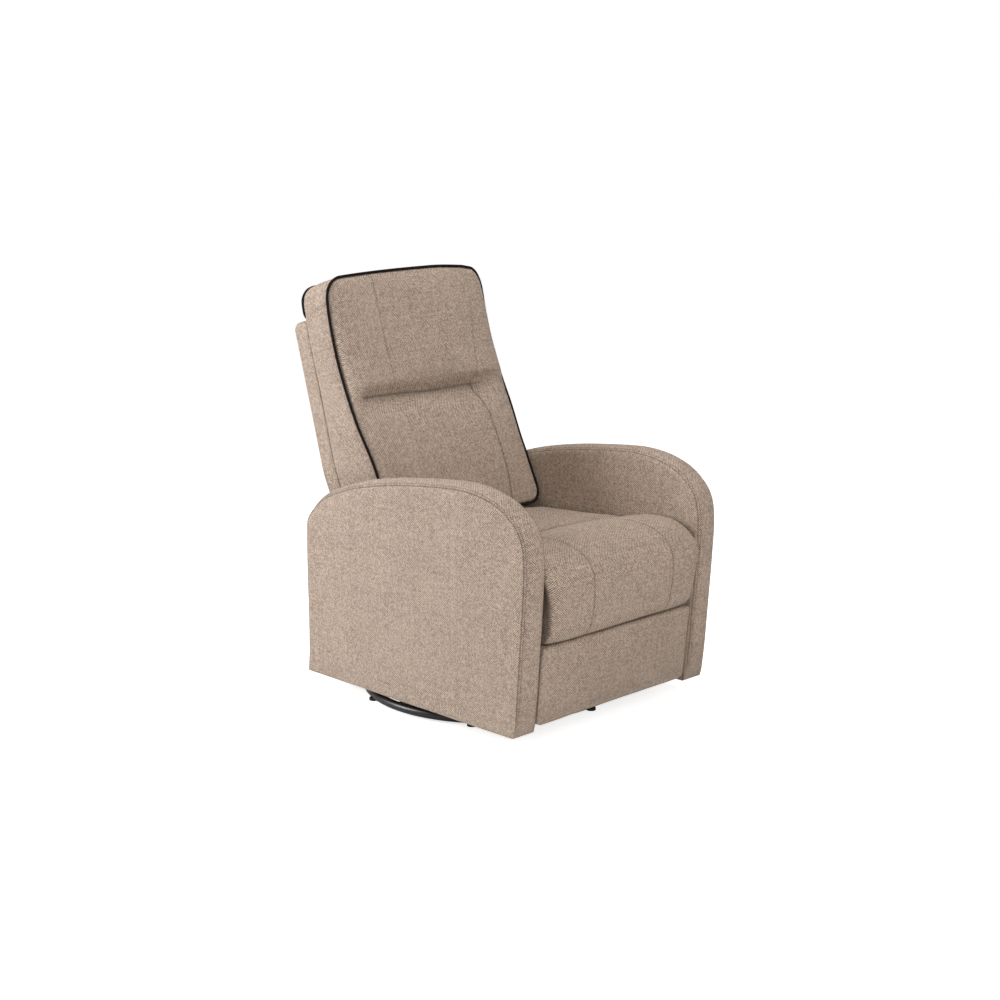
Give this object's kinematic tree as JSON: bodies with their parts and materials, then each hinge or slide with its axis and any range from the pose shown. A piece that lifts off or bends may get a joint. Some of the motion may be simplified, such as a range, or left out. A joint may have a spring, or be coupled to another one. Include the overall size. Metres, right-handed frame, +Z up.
{
  "type": "pushback recliner",
  "caption": "Upholstered pushback recliner on a swivel ring base, with rounded arms, a leaning piped back cushion and a fold-out footrest.",
  "frame": {"origin": "on the floor under the middle of the chair's overall length and width", "axes": "+Z up, -Y the way the sitter faces, +X to the right as seen from the front"},
  "size_m": [0.668, 0.9158, 1.0408],
  "materials": {
    "upholstery": "heathered beige tweed weave",
    "piping": "near-black brown piping",
    "black_steel": "gloss black paint",
    "zinc_steel": "zinc plated",
    "spring_steel": "bare spring wire",
    "frame_wood": "plain unfinished plywood",
    "glide_plastic": "matte black"
  },
  "bodies": {
    "base": {"base_ring": "black_steel", "base_spider": "black_steel", "glide_1": "glide_plastic", "glide_2": "glide_plastic", "glide_3": "glide_plastic", "glide_4": "glide_plastic", "glide_5": "glide_plastic", "glide_6": "glide_plastic", "lower_race": "zinc_steel", "pivot_bolt": "zinc_steel"},
    "chassis": {"upper_race": "zinc_steel", "swivel_plate": "black_steel", "strap_front": "black_steel", "strap_rear": "black_steel", "base_rail_left": "black_steel", "base_rail_right": "black_steel", "mechanism_plate_left": "black_steel", "mechanism_plate_right": "black_steel", "rear_cross_tube": "black_steel", "arm_left": "upholstery", "arm_right": "upholstery", "arm_board_left": "frame_wood", "arm_board_right": "frame_wood", "rear_panel": "upholstery", "back_bolt_left": "zinc_steel", "back_bolt_right": "zinc_steel"},
    "back": {"back_cushion": "upholstery", "back_shell": "upholstery", "back_upright_left": "frame_wood", "back_upright_right": "frame_wood", "back_top_rail": "frame_wood", "back_bottom_rail": "frame_wood", "back_bracket_left": "zinc_steel", "back_bracket_right": "zinc_steel", "front_piping": "piping", "rear_piping": "piping"},
    "seat": {"seat_cushion": "upholstery", "seat_side_rail_left": "frame_wood", "seat_side_rail_right": "frame_wood", "seat_front_rail": "frame_wood", "seat_rear_rail": "frame_wood", "seat_spring_1": "spring_steel", "seat_spring_2": "spring_steel", "seat_spring_3": "spring_steel", "seat_spring_4": "spring_steel", "seat_bracket_left": "zinc_steel", "seat_bracket_right": "zinc_steel"},
    "rear_links": {"rear_link_left": "zinc_steel", "rear_link_right": "zinc_steel", "drive_shaft": "zinc_steel"},
    "control_links": {"control_link_left": "zinc_steel", "control_link_right": "zinc_steel"},
    "front_links": {"front_link_left": "zinc_steel", "front_link_right": "zinc_steel"},
    "upper_links": {"upper_link_left": "zinc_steel", "upper_link_right": "zinc_steel"},
    "footrest": {"footrest_pad": "upholstery", "footrest_board": "frame_wood", "footrest_bracket_left": "zinc_steel", "footrest_bracket_right": "zinc_steel"}
  },
  "joints": [
    {"name": "swivel", "type": "hinge", "parent": "base", "child": "chassis", "pos_m": [0, 0.02, 0], "axis": [0, 0, 1], "continuous": true},
    {"name": "back_recline", "type": "hinge", "parent": "chassis", "child": "back", "pos_m": [0, 0.16, 0.3], "axis": [-1, 0, 0], "range_deg": [0, 28]},
    {"name": "seat_slide", "type": "slide", "parent": "chassis", "child": "seat", "axis": [0, -1, 0], "range_m": [0, 0.04225]},
    {"name": "rear_link_turn", "type": "hinge", "parent": "chassis", "child": "rear_links", "pos_m": [0, -0.315, 0.231], "axis": [-1, 0, 0], "range_deg": [0, 121]},
    {"name": "control_link_turn", "type": "hinge", "parent": "chassis", "child": "control_links", "pos_m": [0, -0.271, 0.2295], "axis": [-1, 0, 0], "range_deg": [0, 119.8]},
    {"name": "front_link_turn", "type": "hinge", "parent": "rear_links", "child": "front_links", "pos_m": [0, -0.2265, 0.0795], "axis": [-1, 0, 0], "range_deg": [-127.7, 0]},
    {"name": "upper_link_turn", "type": "hinge", "parent": "rear_links", "child": "upper_links", "pos_m": [0, -0.194, 0.0905], "axis": [-1, 0, 0], "range_deg": [-134.2, 0]},
    {"name": "footrest_turn", "type": "hinge", "parent": "front_links", "child": "footrest", "pos_m": [0, -0.3545, 0.2285], "axis": [-1, 0, 0], "range_deg": [0, 96.7]}
  ],
  "couplings": [
    {"joint": "seat_slide", "follows": "back_recline", "m_per_rad": 0.08645},
    {"joint": "rear_link_turn", "follows": "back_recline", "ratio": 4.3214},
    {"joint": "control_link_turn", "follows": "back_recline", "ratio": 4.2785},
    {"joint": "front_link_turn", "follows": "back_recline", "ratio": -4.5607},
    {"joint": "upper_link_turn", "follows": "back_recline", "ratio": -4.7928},
    {"joint": "footrest_turn", "follows": "back_recline", "ratio": 3.4535}
  ]
}
